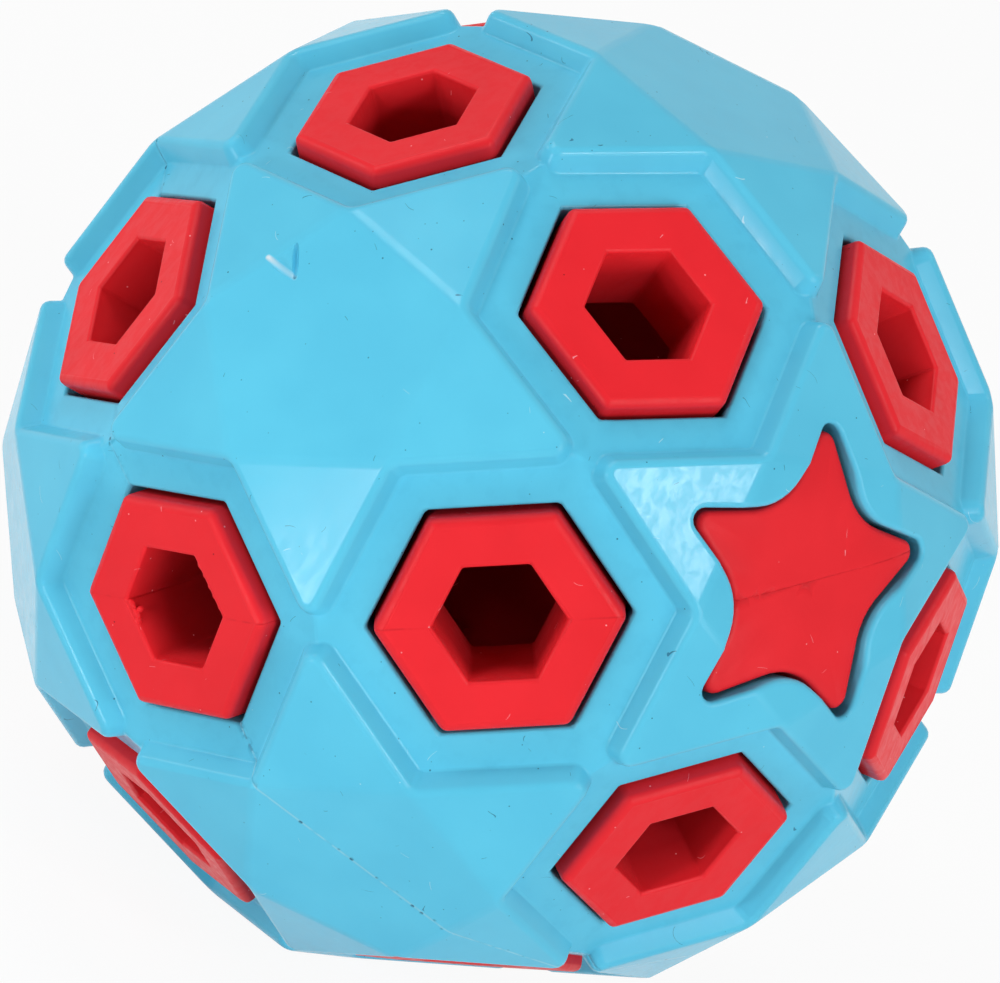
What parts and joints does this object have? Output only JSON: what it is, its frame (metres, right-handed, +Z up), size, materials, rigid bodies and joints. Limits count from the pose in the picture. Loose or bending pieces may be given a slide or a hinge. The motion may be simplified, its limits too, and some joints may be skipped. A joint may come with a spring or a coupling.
{
  "type": "treat dispensing dog ball",
  "caption": "Hollow faceted rubber ball: a star-bossed outer shell over a loose inner core whose hexagonal nozzles let treats fall out as it rolls.",
  "frame": {"origin": "centre of the ball", "axes": "+Z up through the middle of one flat star boss, so that the ball stands on the opposite boss; -Y towards the side that shows the star, which sits on the upper ring of bosses"},
  "size_m": [0.079, 0.0788, 0.0768],
  "materials": {
    "blue_rubber": "satin moulded",
    "red_rubber": "satin moulded"
  },
  "bodies": {
    "shell": {"blue_shell_upper_half": "blue_rubber", "blue_shell_lower_half": "blue_rubber"},
    "core": {"red_core_upper_half": "red_rubber", "red_core_lower_half": "red_rubber"}
  },
  "joints": [
    {"name": "core_play", "type": "hinge", "parent": "shell", "child": "core", "pos_m": [0, 0, 0], "axis": [0, 0, 1], "range_deg": [-0.4, 0.4]}
  ]
}
